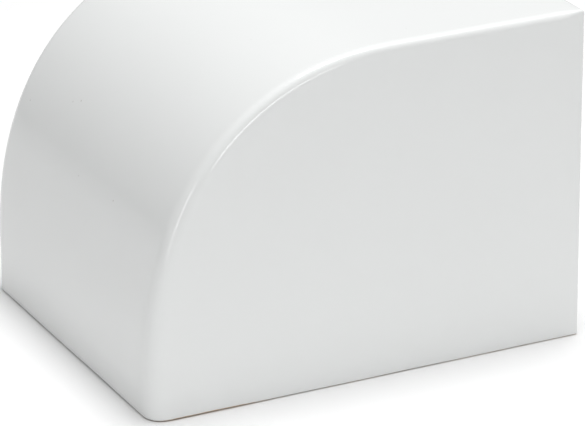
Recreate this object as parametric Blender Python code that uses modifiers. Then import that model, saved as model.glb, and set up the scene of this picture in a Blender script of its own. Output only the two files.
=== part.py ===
"""Covered toast rack: a glazed hood over an oak base with a wire rack and a crumb tray.

Units are metres and +Z is up. The origin is the centre of the hood's footprint on the table.
The hood's curved front faces -Y, and its flat back, where the crumb tray comes out, faces +Y.
"""

import math

import bmesh
import bpy
from mathutils import Matrix

# Hood
HOOD_DEPTH = 0.220
HOOD_WIDTH = 0.180
HOOD_TOP = 0.161
HOOD_RIM = 0.0005
HOOD_WALL = 0.0045
UPRIGHT_HEIGHT = 0.022
CURVE_DEPTH = 0.1265
CURVE_POWER = 2.28
CURVE_STEPS = 36
FRONT_EDGE_RADIUS = 0.0094
TOP_EDGE_RADIUS = 0.004
BACK_EDGE_RADIUS = 0.0012
VENT_RADIUS = 0.0035
VENT_HEIGHT = 0.126
VENT_PITCH = 0.017
VENT_COUNT = 5
LUG_WIDTH = 0.0155
LUG_DEPTH = 0.0175
LUG_HEIGHT = 0.009

# Clearances
GAP = 0.0003
TRAY_SIDE_GAP = 0.0015
NOTCH_GAP = 0.001

# Base, stacked from the table up
FOOT_RADIUS = 0.006
FOOT_HEIGHT = 0.0022
FOOT_X = HOOD_WIDTH / 2 - 0.018
FOOT_Y = 0.090
BASE_WIDTH = HOOD_WIDTH - 2 * HOOD_WALL - 0.007
BASE_DEPTH = HOOD_DEPTH - 2 * HOOD_WALL - 0.009
BASE_CORNER = 0.006
BOARD_EDGE = 0.0006
PLATE_THICKNESS = 0.004
RUNNER_THICKNESS = 0.009
BOARD_THICKNESS = 0.006
PLATE_BOTTOM = FOOT_HEIGHT + GAP
PLATE_TOP = PLATE_BOTTOM + PLATE_THICKNESS
RUNNER_BOTTOM = PLATE_TOP + GAP
RUNNER_TOP = RUNNER_BOTTOM + RUNNER_THICKNESS
BOARD_BOTTOM = RUNNER_TOP + GAP
BOARD_TOP = BOARD_BOTTOM + BOARD_THICKNESS
CHANNEL_WIDTH = 0.108
FRONT_RAIL_DEPTH = 0.010
WINDOW_WIDTH = 0.096
WINDOW_FRONT = -0.083
WINDOW_BACK = 0.091
WINDOW_CORNER = 0.004
PAD_RADIUS = 0.004
PAD_HEIGHT = 0.002
PAD_X = HOOD_WIDTH / 2 - 0.015
PAD_Y = 0.093
PAD_TOP = BOARD_TOP + GAP + PAD_HEIGHT
LUG_BOTTOM = PAD_TOP + GAP

# Base screws
SCREW_X = HOOD_WIDTH / 2 - 0.020
SCREW_ROWS = (-0.070, 0.0, 0.070)
SCREW_RADIUS = 0.0015
SCREW_HOLE = SCREW_RADIUS + GAP
SCREW_HEAD_RADIUS = 0.0032
SCREW_HEAD_HEIGHT = 0.0018
SCREW_REACH = 0.0045
SCREW_TIP = BOARD_BOTTOM + SCREW_REACH

# Crumb tray
TRAY_SHEET = 0.0008
TRAY_FRONT = -0.088
TRAY_HEIGHT = 0.0075
FLANGE_SHEET = 0.001
FLANGE_BOTTOM = 0.0028
FLANGE_TOP = 0.0152
FINGER_RADIUS = 0.009
FINGER_RISE = 0.0036

# Wire rack
WIRE_RADIUS = 0.0015
SOCKET_DEPTH = 0.005
HOOP_COUNT = 7
HOOP_FIRST_Y = -0.070
HOOP_PITCH = 0.026
HOOP_X = 0.060
HOOP_TOP = 0.1035
HOOP_BEND = 0.016
RAIL_X = 0.035
RAIL_Z = 0.0262
RAIL_FRONT_Y = -0.092
RAIL_BACK_Y = 0.096
RAIL_BEND = 0.004
RING_RADIUS = 0.014
RING_STEPS = 32

CORNERS = ((-1, -1), (1, -1), (1, 1), (-1, 1))
CUT_MARGIN = 0.005
ROUND_STEPS = 24
SMALL_ROUND_STEPS = 16
WELD = 0.00001

OAK = ((0.56, 0.36, 0.19), 0.55, 0.0)
GLAZE = ((0.86, 0.86, 0.85), 0.12, 0.0)
STEEL = ((0.62, 0.62, 0.63), 0.25, 1.0)
RUBBER = ((0.06, 0.06, 0.06), 0.75, 0.0)
SILICONE = ((0.80, 0.79, 0.76), 0.60, 0.0)


def clear_scene():
    for old in list(bpy.data.objects):
        bpy.data.objects.remove(old, do_unlink=True)


def new_collection(name):
    collection = bpy.data.collections.new(name)
    bpy.context.scene.collection.children.link(collection)
    return collection


def new_material(name, look):
    colour, roughness, metallic = look
    material = bpy.data.materials.new(name)
    material.use_nodes = True
    shader = material.node_tree.nodes["Principled BSDF"]
    shader.inputs["Base Color"].default_value = (*colour, 1.0)
    shader.inputs["Roughness"].default_value = roughness
    shader.inputs["Metallic"].default_value = metallic
    return material


clear_scene()
PARTS = new_collection("Covered toast rack")
CUTTERS = new_collection("Cutters")


def new_anchor(name, location):
    anchor = bpy.data.objects.new(name, None)
    anchor.location = location
    anchor.empty_display_size = 0.02
    PARTS.objects.link(anchor)
    return anchor


def add_part(name, mesh, look, anchor, location=(0.0, 0.0, 0.0), smooth_angle=35.0):
    """Put one sub-part in the model, placed in world coordinates and parented to its anchor."""
    part = bpy.data.objects.new(name, mesh)
    part.location = location
    part.parent = anchor
    part.matrix_parent_inverse = Matrix.Translation(anchor.location).inverted()
    mesh.materials.append(new_material(name, look))
    mesh.shade_smooth()
    mesh.set_sharp_from_angle(angle=math.radians(smooth_angle))
    PARTS.objects.link(part)
    return part


def add_cutter(name, mesh, location=(0.0, 0.0, 0.0)):
    cutter = bpy.data.objects.new(name, mesh)
    cutter.location = location
    cutter.hide_render = True
    cutter.display_type = "WIRE"
    CUTTERS.objects.link(cutter)
    return cutter


def boolean(part, other, operation="DIFFERENCE"):
    modifier = part.modifiers.new(other.name, "BOOLEAN")
    modifier.operation = operation
    modifier.object = other
    return modifier


def round_edges(part, width, segments=2, weighted=False):
    modifier = part.modifiers.new("Rounded edges", "BEVEL")
    modifier.width = width
    modifier.segments = segments
    modifier.limit_method = "WEIGHT" if weighted else "ANGLE"
    modifier.angle_limit = math.radians(40.0)
    return modifier


def evaluated_mesh(holder):
    """The evaluated mesh of an object that is then removed."""
    bpy.context.scene.collection.objects.link(holder)
    depsgraph = bpy.context.evaluated_depsgraph_get()
    mesh = bpy.data.meshes.new_from_object(holder.evaluated_get(depsgraph))
    bpy.data.objects.remove(holder, do_unlink=True)
    return mesh


def weld_mesh(mesh, flat_angle=None):
    """Close a curve's loose caps, and merge each flat cap into one face if asked to."""
    bm = bmesh.new()
    bm.from_mesh(mesh)
    bmesh.ops.remove_doubles(bm, verts=bm.verts, dist=WELD)
    if flat_angle:
        bmesh.ops.dissolve_limit(bm, angle_limit=flat_angle, verts=bm.verts, edges=bm.edges)
    bmesh.ops.recalc_face_normals(bm, faces=bm.faces)
    bm.to_mesh(mesh)
    bm.free()
    return mesh


def slab(name, outline, thickness):
    """A flat outline in XY, extruded by half its thickness to each side of Z = 0."""
    curve = bpy.data.curves.new(name, "CURVE")
    curve.dimensions = "2D"
    curve.fill_mode = "BOTH"
    curve.extrude = thickness / 2
    spline = curve.splines.new("POLY")
    spline.points.add(len(outline) - 1)
    for point, (u, v) in zip(spline.points, outline):
        point.co = (u, v, 0.0, 1.0)
    spline.use_cyclic_u = True
    mesh = evaluated_mesh(bpy.data.objects.new(name, curve))
    return weld_mesh(mesh, flat_angle=math.radians(0.1))


def wire(name, points, closed=False):
    """A round wire along a list of points."""
    curve = bpy.data.curves.new(name, "CURVE")
    curve.dimensions = "3D"
    curve.bevel_depth = WIRE_RADIUS
    curve.bevel_resolution = 2
    curve.use_fill_caps = not closed
    spline = curve.splines.new("POLY")
    spline.points.add(len(points) - 1)
    for point, place in zip(spline.points, points):
        point.co = (*place, 1.0)
    spline.use_cyclic_u = closed
    return weld_mesh(evaluated_mesh(bpy.data.objects.new(name, curve)))


def turned(name, profile, steps=ROUND_STEPS):
    """A solid of revolution about Z; its profile (radius, z) runs down the outer side."""
    mesh = bpy.data.meshes.new(name)
    edges = [(i, i + 1) for i in range(len(profile) - 1)]
    mesh.from_pydata([(radius, 0.0, z) for radius, z in profile], edges, [])
    holder = bpy.data.objects.new(name, mesh)
    screw = holder.modifiers.new("Turn", "SCREW")
    screw.steps = steps
    screw.render_steps = steps
    screw.use_merge_vertices = True
    screw.merge_threshold = WELD
    return weld_mesh(evaluated_mesh(holder))


def box(name, low, high):
    """A box between two corners."""
    bm = bmesh.new()
    bmesh.ops.create_cube(bm, size=1.0)
    size = [b - a for a, b in zip(low, high)]
    centre = [(a + b) / 2 for a, b in zip(low, high)]
    bmesh.ops.scale(bm, vec=size, verts=bm.verts)
    bmesh.ops.translate(bm, vec=centre, verts=bm.verts)
    mesh = bpy.data.meshes.new(name)
    bm.to_mesh(mesh)
    bm.free()
    return mesh


def cylinder(name, radius, length, top_radius=None, steps=SMALL_ROUND_STEPS):
    """A cylinder or cone along Z, centred on its own origin."""
    bm = bmesh.new()
    bmesh.ops.create_cone(
        bm,
        cap_ends=True,
        segments=steps,
        radius1=radius,
        radius2=radius if top_radius is None else top_radius,
        depth=length,
    )
    mesh = bpy.data.meshes.new(name)
    bm.to_mesh(mesh)
    bm.free()
    return mesh


def rounded_rectangle(low, high, radius, steps=5):
    """Corner points of an axis-aligned rectangle with round corners, anticlockwise."""
    (x0, y0), (x1, y1) = low, high
    corners = (
        (x1 - radius, y0 + radius, -90.0),
        (x1 - radius, y1 - radius, 0.0),
        (x0 + radius, y1 - radius, 90.0),
        (x0 + radius, y0 + radius, 180.0),
    )
    points = []
    for x, y, start in corners:
        for i in range(steps + 1):
            angle = math.radians(start + 90.0 * i / steps)
            points.append((x + radius * math.cos(angle), y + radius * math.sin(angle)))
    return points


def bent_path(corners, radius, steps=5):
    """A polyline whose inner corners, all right angles, are bent to a radius."""
    points = [corners[0]]
    for before, corner, after in zip(corners, corners[1:], corners[2:]):
        back = [b - c for b, c in zip(before, corner)]
        ahead = [a - c for a, c in zip(after, corner)]
        back = [radius * b / math.hypot(*back) for b in back]
        ahead = [radius * a / math.hypot(*ahead) for a in ahead]
        for i in range(steps + 1):
            angle = math.radians(90.0 * i / steps)
            to_back = 1.0 - math.sin(angle)
            to_ahead = 1.0 - math.cos(angle)
            bend = [c + b * to_back + a * to_ahead for c, b, a in zip(corner, back, ahead)]
            points.append(tuple(bend))
    points.append(corners[-1])
    return points


def hood_outline(inset, bottom):
    """The hood's side outline in (y, z), its walls set in by inset, from the front foot up."""
    front = -HOOD_DEPTH / 2 + inset
    back = HOOD_DEPTH / 2 - inset
    depth = CURVE_DEPTH - inset
    height = HOOD_TOP - UPRIGHT_HEIGHT - inset
    points = [(front, bottom)]
    for i in range(CURVE_STEPS + 1):
        angle = math.pi / 2 * i / CURVE_STEPS
        y = front + depth * (1.0 - math.cos(angle) ** (2.0 / CURVE_POWER))
        z = UPRIGHT_HEIGHT + height * math.sin(angle) ** (2.0 / CURVE_POWER)
        points.append((y, z))
    points += [(back, HOOD_TOP - inset), (back, bottom)]
    return points


def hood_edge_radius(y, z, shrink):
    """Edge radius between the side and the front, roof or back at one point of the outline."""
    if y > HOOD_DEPTH / 2 - HOOD_WALL - WELD:
        return max(BACK_EDGE_RADIUS - shrink, 0.0)
    along = min(max((z - UPRIGHT_HEIGHT) / (HOOD_TOP - UPRIGHT_HEIGHT), 0.0), 1.0)
    radius = FRONT_EDGE_RADIUS + (TOP_EDGE_RADIUS - FRONT_EDGE_RADIUS) * along
    return max(radius - shrink, 0.0)


def hood_body(name, inset):
    """A solid hood form that runs on below the table, its edges weighted for their bevel."""
    bottom = -2 * CUT_MARGIN
    mesh = slab(name, hood_outline(inset, bottom), HOOD_WIDTH - 2 * inset)
    stand_up = Matrix(((0.0, 0.0, 1.0), (1.0, 0.0, 0.0), (0.0, 1.0, 0.0))).to_4x4()
    mesh.transform(stand_up)
    weights = mesh.attributes.new("bevel_weight_edge", "FLOAT", "EDGE")
    side = HOOD_WIDTH / 2 - inset
    for edge in mesh.edges:
        a, b = (mesh.vertices[i].co for i in edge.vertices)
        middle = (a + b) / 2
        along_outline = abs(a.x - b.x) < WELD and abs(abs(a.x) - side) < WELD
        top_back = middle.y > HOOD_DEPTH / 2 - inset - WELD and middle.z > HOOD_TOP - inset - WELD
        if top_back or along_outline and max(a.z, b.z) > bottom + WELD:
            radius = hood_edge_radius(middle.y, middle.z, inset)
            weights.data[edge.index].value = radius / FRONT_EDGE_RADIUS
    return mesh


def make_hood(anchor):
    """Glazed shell, open underneath, with four inner lugs, a tray notch and steam vents."""
    hood = add_part("hood", hood_body("hood", 0.0), GLAZE, anchor)
    round_edges(hood, FRONT_EDGE_RADIUS, segments=4, weighted=True)

    hollow = add_cutter("hood_hollow", hood_body("hood_hollow", HOOD_WALL))
    round_edges(hollow, FRONT_EDGE_RADIUS, segments=3, weighted=True)
    boolean(hood, hollow)

    low = (-HOOD_WIDTH, -HOOD_DEPTH, -4 * CUT_MARGIN)
    high = (HOOD_WIDTH, HOOD_DEPTH, HOOD_RIM)
    boolean(hood, add_cutter("rim_trim", box("rim_trim", low, high)))

    inner_x = HOOD_WIDTH / 2 - HOOD_WALL
    inner_y = HOOD_DEPTH / 2 - HOOD_WALL
    into_wall = HOOD_WALL / 4
    for i, (sx, sy) in enumerate(CORNERS, start=1):
        xs = sorted((sx * (inner_x + into_wall), sx * (inner_x - LUG_WIDTH)))
        ys = sorted((sy * (inner_y + into_wall), sy * (inner_y - LUG_DEPTH)))
        low = (xs[0], ys[0], LUG_BOTTOM)
        high = (xs[1], ys[1], LUG_BOTTOM + LUG_HEIGHT)
        boolean(hood, add_cutter(f"hood_lug_{i}", box("hood_lug", low, high)), "UNION")

    half_notch = CHANNEL_WIDTH / 2 + TRAY_SIDE_GAP
    low = (-half_notch, inner_y - CUT_MARGIN, -CUT_MARGIN)
    high = (half_notch, HOOD_DEPTH / 2 + CUT_MARGIN, FLANGE_TOP + NOTCH_GAP)
    boolean(hood, add_cutter("tray_notch", box("tray_notch", low, high)))

    vent = cylinder("vent", VENT_RADIUS, HOOD_WALL + 2 * CUT_MARGIN)
    vent.transform(Matrix.Rotation(math.pi / 2, 4, "X"))
    for i in range(VENT_COUNT):
        x = (i - (VENT_COUNT - 1) / 2) * VENT_PITCH
        place = (x, HOOD_DEPTH / 2 - HOOD_WALL / 2, VENT_HEIGHT)
        boolean(hood, add_cutter(f"vent_{i + 1}", vent, place))


def make_board(name, low, high, bottom, top, corner, anchor):
    """A flat oak board between two heights, with round corners and softened edges."""
    mesh = slab(name, rounded_rectangle(low, high, corner), top - bottom)
    board = add_part(name, mesh, OAK, anchor, (0.0, 0.0, (bottom + top) / 2))
    round_edges(board, BOARD_EDGE, segments=1)
    return board


def cut_holes(board, name, radius, places, bottom, top):
    """Round holes from bottom to top at each (x, y)."""
    mesh = cylinder(name, radius, top - bottom)
    for i, (x, y) in enumerate(places, start=1):
        boolean(board, add_cutter(f"{name}_{i}", mesh, (x, y, (bottom + top) / 2)))


def hoop_ys():
    return [HOOP_FIRST_Y + i * HOOP_PITCH for i in range(HOOP_COUNT)]


def screw_places():
    return [(side * SCREW_X, y) for side in (-1, 1) for y in SCREW_ROWS]


def make_top_board(anchor):
    """The board under the toast: a window for crumbs, wire sockets and screw pilot holes."""
    half_x = BASE_WIDTH / 2
    half_y = BASE_DEPTH / 2
    low = (-half_x, -half_y)
    high = (half_x, half_y)
    board = make_board("top_board", low, high, BOARD_BOTTOM, BOARD_TOP, BASE_CORNER, anchor)

    low = (-WINDOW_WIDTH / 2, WINDOW_FRONT)
    high = (WINDOW_WIDTH / 2, WINDOW_BACK)
    window = slab("window", rounded_rectangle(low, high, WINDOW_CORNER), BOARD_THICKNESS + 2 * CUT_MARGIN)
    middle = (0.0, 0.0, (BOARD_BOTTOM + BOARD_TOP) / 2)
    boolean(board, add_cutter("crumb_window", window, middle))

    legs = [(side * HOOP_X, y) for side in (-1, 1) for y in hoop_ys()]
    legs += [(side * RAIL_X, y) for side in (-1, 1) for y in (RAIL_FRONT_Y, RAIL_BACK_Y)]
    socket_bottom = BOARD_TOP - SOCKET_DEPTH
    cut_holes(board, "wire_socket", WIRE_RADIUS + GAP, legs, socket_bottom, BOARD_TOP + CUT_MARGIN)
    cut_holes(board, "pilot_hole", SCREW_HOLE, screw_places(), BOARD_BOTTOM - CUT_MARGIN, SCREW_TIP + GAP)


def make_bottom_plate(anchor):
    """The thin board underneath, countersunk for the screws."""
    half_x = BASE_WIDTH / 2
    half_y = BASE_DEPTH / 2
    low = (-half_x, -half_y)
    high = (half_x, half_y)
    plate = make_board("bottom_plate", low, high, PLATE_BOTTOM, PLATE_TOP, BASE_CORNER, anchor)
    bottom = PLATE_BOTTOM - CUT_MARGIN
    cut_holes(plate, "plate_hole", SCREW_HOLE, screw_places(), bottom, PLATE_TOP + CUT_MARGIN)
    neck = SCREW_RADIUS + 2 * GAP
    mouth = neck + 2 * (SCREW_HEAD_RADIUS - SCREW_RADIUS)
    sink = cylinder("countersink", mouth, 2 * SCREW_HEAD_HEIGHT, neck)
    for i, (x, y) in enumerate(screw_places(), start=1):
        boolean(plate, add_cutter(f"countersink_{i}", sink, (x, y, PLATE_BOTTOM + GAP)))


def make_runners(anchor):
    """Two side runners and a front rail that hold the boards apart around the tray's channel."""
    half_x = BASE_WIDTH / 2 - GAP
    half_y = BASE_DEPTH / 2
    half_channel = CHANNEL_WIDTH / 2
    corner = 2 * BOARD_EDGE
    bottom = RUNNER_BOTTOM - CUT_MARGIN
    top = RUNNER_TOP + CUT_MARGIN
    for name, side in (("runner_left", -1), ("runner_right", 1)):
        xs = sorted((side * half_channel, side * half_x))
        low = (xs[0], -half_y)
        high = (xs[1], half_y)
        runner = make_board(name, low, high, RUNNER_BOTTOM, RUNNER_TOP, corner, anchor)
        places = [(x, y) for x, y in screw_places() if x * side > 0]
        cut_holes(runner, name + "_hole", SCREW_HOLE, places, bottom, top)

    low = (GAP - half_channel, -half_y)
    high = (half_channel - GAP, FRONT_RAIL_DEPTH - half_y)
    make_board("front_rail", low, high, RUNNER_BOTTOM, RUNNER_TOP, corner, anchor)


def make_feet_and_pads(anchor):
    """A rubber foot under each corner, and a pad on top where a lug of the hood rests."""
    for i, (sx, sy) in enumerate(CORNERS, start=1):
        foot = cylinder(f"foot_{i}", FOOT_RADIUS, FOOT_HEIGHT, steps=ROUND_STEPS)
        place = (sx * FOOT_X, sy * FOOT_Y, FOOT_HEIGHT / 2)
        add_part(f"foot_{i}", foot, RUBBER, anchor, place)
        pad = cylinder(f"rest_pad_{i}", PAD_RADIUS, PAD_HEIGHT)
        place = (sx * PAD_X, sy * PAD_Y, PAD_TOP - PAD_HEIGHT / 2)
        add_part(f"rest_pad_{i}", pad, SILICONE, anchor, place)


def make_base_screws(anchor):
    """Countersunk wood screws that draw the bottom plate and the runners up to the top board."""
    head_bottom = PLATE_BOTTOM + GAP
    profile = [
        (0.0, SCREW_TIP),
        (SCREW_RADIUS / 2, SCREW_TIP),
        (SCREW_RADIUS, SCREW_TIP - 2 * SCREW_RADIUS),
        (SCREW_RADIUS, head_bottom + SCREW_HEAD_HEIGHT),
        (SCREW_HEAD_RADIUS, head_bottom),
        (0.0, head_bottom),
    ]
    for i, (x, y) in enumerate(screw_places(), start=1):
        name = f"base_screw_{i}"
        add_part(name, turned(name, profile, SMALL_ROUND_STEPS), STEEL, anchor, (x, y, 0.0))


def make_tray(anchor):
    """Folded steel tray whose back flange closes the notch in the hood's back."""
    half_x = CHANNEL_WIDTH / 2 - TRAY_SIDE_GAP
    bottom = PLATE_TOP + GAP
    flange_back = HOOD_DEPTH / 2 - GAP
    flange_front = flange_back - FLANGE_SHEET
    body_back = flange_front + FLANGE_SHEET / 2
    low = (-half_x, TRAY_FRONT, bottom)
    high = (half_x, body_back, bottom + TRAY_HEIGHT)
    tray = add_part("crumb_tray", box("crumb_tray", low, high), STEEL, anchor)

    low = (-half_x + TRAY_SHEET, TRAY_FRONT + TRAY_SHEET, bottom + TRAY_SHEET)
    high = (half_x - TRAY_SHEET, flange_front - TRAY_SHEET, bottom + TRAY_HEIGHT + CUT_MARGIN)
    boolean(tray, add_cutter("tray_hollow", box("tray_hollow", low, high)))

    half_flange = half_x + TRAY_SIDE_GAP
    low = (-half_flange, flange_front, FLANGE_BOTTOM)
    high = (half_flange, flange_back, FLANGE_TOP)
    boolean(tray, add_cutter("tray_flange", box("tray_flange", low, high)), "UNION")

    finger = cylinder("finger_cut", FINGER_RADIUS, 2 * CUT_MARGIN, steps=ROUND_STEPS)
    finger.transform(Matrix.Rotation(math.pi / 2, 4, "X"))
    place = (0.0, flange_back, FLANGE_TOP + FINGER_RISE)
    boolean(tray, add_cutter("finger_cut", finger, place))


def make_rack(anchor):
    """Wire rack: hoops that part the slices, rails that carry them, and a ring to lift by."""
    foot = BOARD_TOP - SOCKET_DEPTH + GAP
    for i, y in enumerate(hoop_ys(), start=1):
        corners = [(-HOOP_X, y, foot), (-HOOP_X, y, HOOP_TOP), (HOOP_X, y, HOOP_TOP), (HOOP_X, y, foot)]
        name = f"rack_hoop_{i}"
        add_part(name, wire(name, bent_path(corners, HOOP_BEND)), STEEL, anchor, smooth_angle=60.0)

    for name, side in (("toast_rail_left", -1), ("toast_rail_right", 1)):
        x = side * RAIL_X
        corners = [
            (x, RAIL_FRONT_Y, foot),
            (x, RAIL_FRONT_Y, RAIL_Z),
            (x, RAIL_BACK_Y, RAIL_Z),
            (x, RAIL_BACK_Y, foot),
        ]
        add_part(name, wire(name, bent_path(corners, RAIL_BEND)), STEEL, anchor, smooth_angle=60.0)

    middle_y = hoop_ys()[HOOP_COUNT // 2]
    centre_z = HOOP_TOP + 2 * WIRE_RADIUS + GAP + RING_RADIUS
    ring = []
    for i in range(RING_STEPS):
        angle = 2 * math.pi * i / RING_STEPS
        ring.append((RING_RADIUS * math.cos(angle), middle_y, centre_z + RING_RADIUS * math.sin(angle)))
    add_part("rack_handle", wire("rack_handle", ring, closed=True), STEEL, anchor, smooth_angle=60.0)


def build():
    base = new_anchor("base_origin", (0.0, 0.0, 0.0))
    hood_lift = new_anchor("hood_lift_axis", (0.0, 0.0, HOOD_RIM))
    tray_slide = new_anchor("tray_slide_axis", (0.0, HOOD_DEPTH / 2, PLATE_TOP + TRAY_HEIGHT / 2))
    make_hood(hood_lift)
    make_top_board(base)
    make_bottom_plate(base)
    make_runners(base)
    make_base_screws(base)
    make_feet_and_pads(base)
    make_tray(tray_slide)
    make_rack(base)


build()
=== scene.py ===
"""Looks of the covered toast rack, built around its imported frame.

Metres and +Z up, in the frame's own axes: the hood's rolled front faces -Y, the crumb tray comes
out at +Y, and the camera looks from the front and the +X side.
"""

import math

import bmesh
import bpy
import numpy as np
from mathutils import Matrix, Vector, noise


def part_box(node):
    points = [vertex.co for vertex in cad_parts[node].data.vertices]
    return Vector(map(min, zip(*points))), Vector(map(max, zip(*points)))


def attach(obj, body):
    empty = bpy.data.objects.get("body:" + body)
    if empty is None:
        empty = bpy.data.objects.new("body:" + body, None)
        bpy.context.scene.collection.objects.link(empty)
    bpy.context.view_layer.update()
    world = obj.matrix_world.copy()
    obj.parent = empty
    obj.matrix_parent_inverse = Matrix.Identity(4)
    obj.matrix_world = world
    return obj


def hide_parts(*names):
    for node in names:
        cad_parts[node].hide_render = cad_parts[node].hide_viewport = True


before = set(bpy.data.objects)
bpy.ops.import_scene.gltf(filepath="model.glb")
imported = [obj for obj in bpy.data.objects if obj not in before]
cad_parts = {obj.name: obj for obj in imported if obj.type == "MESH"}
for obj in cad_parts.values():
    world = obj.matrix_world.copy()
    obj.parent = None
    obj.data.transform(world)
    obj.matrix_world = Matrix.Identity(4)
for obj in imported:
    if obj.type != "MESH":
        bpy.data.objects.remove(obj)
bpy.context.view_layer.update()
HOOD_LOW, HOOD_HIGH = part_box("hood")
HOOD_DEPTH = HOOD_HIGH.y - HOOD_LOW.y
HOOD_SIDE = HOOD_HIGH.x

# Camera: degrees around the centre of the footprint, metres, and millimetres of lens and sensor
CAMERA_AZIMUTH = 63.59
CAMERA_ELEVATION = 22.12
CAMERA_ROLL = -0.36
CAMERA_DISTANCE = 1.9337
CAMERA_RIGHT = 0.0048
CAMERA_UP = 0.0458
CAMERA_LENS = 250.16
CAMERA_SENSOR = 36.0
CAMERA_FAR = 50.0

# Hood: an upright front, then a superellipse curve back to a flat roof
HOOD_WALL = 0.0045
CURVE_DEPTH_SHARE = 0.575
UPRIGHT_HEIGHT = 0.022
CURVE_POWER = 2.28

# Rounded edges of the hood, superellipses too, tightest at the back
EDGE_POWER = 2.5
FRONT_EDGE_RADIUS = 0.0114
TOP_EDGE_RADIUS = 0.0048
BACK_EDGE_RADIUS = 0.0016
TOP_BACK_RADIUS = 0.002
EDGE_BLEND_LENGTH = 0.012
INNER_EDGE_RADIUS = 0.002
INNER_BACK_EDGE_RADIUS = 0.001
INNER_TOP_BACK_RADIUS = 0.0012

# Mesh of the hood: rows along each stretch of its outline, and columns across it
STATIONS = {"upright": 8, "curve": 110, "roof": 34, "corner": 6, "back": 52}
CURVE_SAMPLES = 2000
EDGE_SEGMENTS = 14
ACROSS_SEGMENTS = 44
SIDE_BOTTOM_SEGMENTS = 60
SIDE_RINGS = 18
SIDE_POLE_Y = 0.012
SIDE_POLE_HEIGHT_SHARE = 0.42

# Rim of the hood, and the unevenness of a casting
RIM_RADIUS = 0.0008
RIM_STEPS = 4
RIM_HEIGHT = 0.00015
RIM_WAVE = 0.0004
RIM_WAVE_SCALE = 22.0
RIM_WAVE_LEVEL = 0.05
RIM_WAVE_PLACE = (5.0, 0.0, 3.0)
RIM_WARP = 0.0003
RIM_UNEVEN_HEIGHT = 0.03
WALL_WAVE = 0.00022
WALL_WAVE_SCALE = (9.0, 13.0, 13.0)
SIDE_WAVE_FROM = 0.9
END_WAVE_FROM = 0.6
ROOF_WAVE_FROM = 0.5

# Inner lugs, tray notch and steam vents of the hood
LUG_SIZE = (0.0155, 0.0175, 0.009)
LUG_EDGE = 0.0018
LUG_INTO_WALL = HOOD_WALL / 4
NOTCH_SIDE_GAP = 0.0015
NOTCH_TOP_GAP = 0.001
NOTCH_CORNER = 0.0025
VENT_RADIUS = 0.0035
VENT_LIP = 0.0008
VENT_HEIGHT = 0.126
VENT_PITCH = 0.017
VENT_COUNT = 5

# Glaze: unglazed clay shows along the rim; near one front corner it reaches higher, a painted warm
# reflection of the oak base under the rim there
GLAZE_SHADES = ((0.768, 0.780, 0.775), (0.791, 0.803, 0.798))
GLAZE_ROUGHNESS = (0.05, 0.09)
GLAZE_IOR = 1.52
GLAZE_PEEL = 0.12
SPECK_COLOUR = (0.30, 0.27, 0.23)
SPECK_SCALE = 160.0
SPECK_PICK = 0.94
SPECK_SIZES = (0.04, 0.09)
SPECK_SOFTNESS = 0.04
SPECK_STRENGTH = 0.4
CLAY_SHADES = ((0.42, 0.29, 0.19), (0.60, 0.45, 0.31))
CLAY_ROUGHNESS = 0.85
CLAY_LEVELS = (0.0004, 0.0009)
CLAY_RAGGEDNESS = 0.0006
PAINTED_REFLECTION_INTO = 0.028
PAINTED_REFLECTION_CORE = 0.012
PAINTED_REFLECTION_REACH = 0.034
PAINTED_REFLECTION_RISE = 0.0006

# Boards
BOARD_CORNER = 0.006
BOARD_EDGE = 0.0007
WINDOW_LOW = (-0.048, -0.083)
WINDOW_HIGH = (0.048, 0.091)
WINDOW_CORNER = 0.004
WINDOW_OVERCUT = 0.01
SOCKET_RADIUS = 0.0018
SOCKET_DEPTH = 0.005
SOCKET_CHAMFER = 0.0004
SINK_CHAMFER = 0.0004
OAK_LIGHT = (0.60, 0.41, 0.235)
OAK_DARK = (0.42, 0.26, 0.130)
OAK_PORE = (0.20, 0.11, 0.05)
OAK_ROUGHNESS = (0.42, 0.58)
OAK_DRIFT = 0.020
OAK_RING_STRETCH = (1.0, 0.09, 1.0)
OAK_RING_STRENGTH = 0.75
OAK_PORE_STRETCH = (1.0, 0.045, 1.0)
OAK_PORE_LEVELS = (0.60, 0.70)
OAK_PORE_STRENGTH = 0.6

# Screws
SCREW_RADIUS = 0.0015
SCREW_NECK = 0.003
SCREW_NECK_FLARE = 1.05
SCREW_HEAD_RADIUS = 0.0032
SCREW_HEAD_HEIGHT = 0.0018
SCREW_HEAD_EDGE = 0.0002
SCREW_TURN = 1.3
THREAD_PITCH = 0.0011
THREAD_DEPTH = 0.00035
THREAD_SHARPNESS = 1.8
TIP_LENGTH = 2.2 * SCREW_RADIUS
TIP_SHARE = 0.25
THREAD_COLUMNS = 28
THREAD_ROWS = 8
RECESS_ARM = (0.0017, 0.00032, 0.0012)
RECESS_TURN = 0.3

# Crumb tray
TRAY_SHEET = 0.0008
TRAY_HEIGHT = 0.0075
TRAY_CORNER = 0.002
TRAY_EDGE = 0.0006
TRAY_HOLLOW_EDGE = 0.0008
FLANGE_SHEET = 0.001
FLANGE_SIDE = 0.0015
FLANGE_OVERLAP = 0.0004
FLANGE_CORNER = 0.0012
FLANGE_EDGE = 0.00025
FINGER_RADIUS = 0.009
FINGER_RISE = 0.0036

# Feet and pads
FOOT_EDGE = 0.0006
FOOT_DISH = 0.0005
PAD_EDGE = 0.0005
PAD_DISH = 0.0003
DISH_SHARES = (0.55, 0.45)
RUBBER_SHADES = ((0.018, 0.018, 0.019), (0.050, 0.049, 0.047))
SILICONE_SHADES = ((0.66, 0.65, 0.62), (0.78, 0.77, 0.74))

# Wire rack
WIRE_RADIUS = 0.0015
HOOP_BEND = 0.016
RAIL_BEND = 0.004
HANDLE_STEPS = 112
WELD_SIZE = (0.0034, 0.00125, 0.0011)
WELD_RIPPLE = 0.05
WELD_RIPPLE_SCALE = 900.0
WIRE_SHADES = ((0.60, 0.60, 0.61), (0.72, 0.72, 0.72))
WIRE_ROUGHNESS = (0.10, 0.24)

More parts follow.
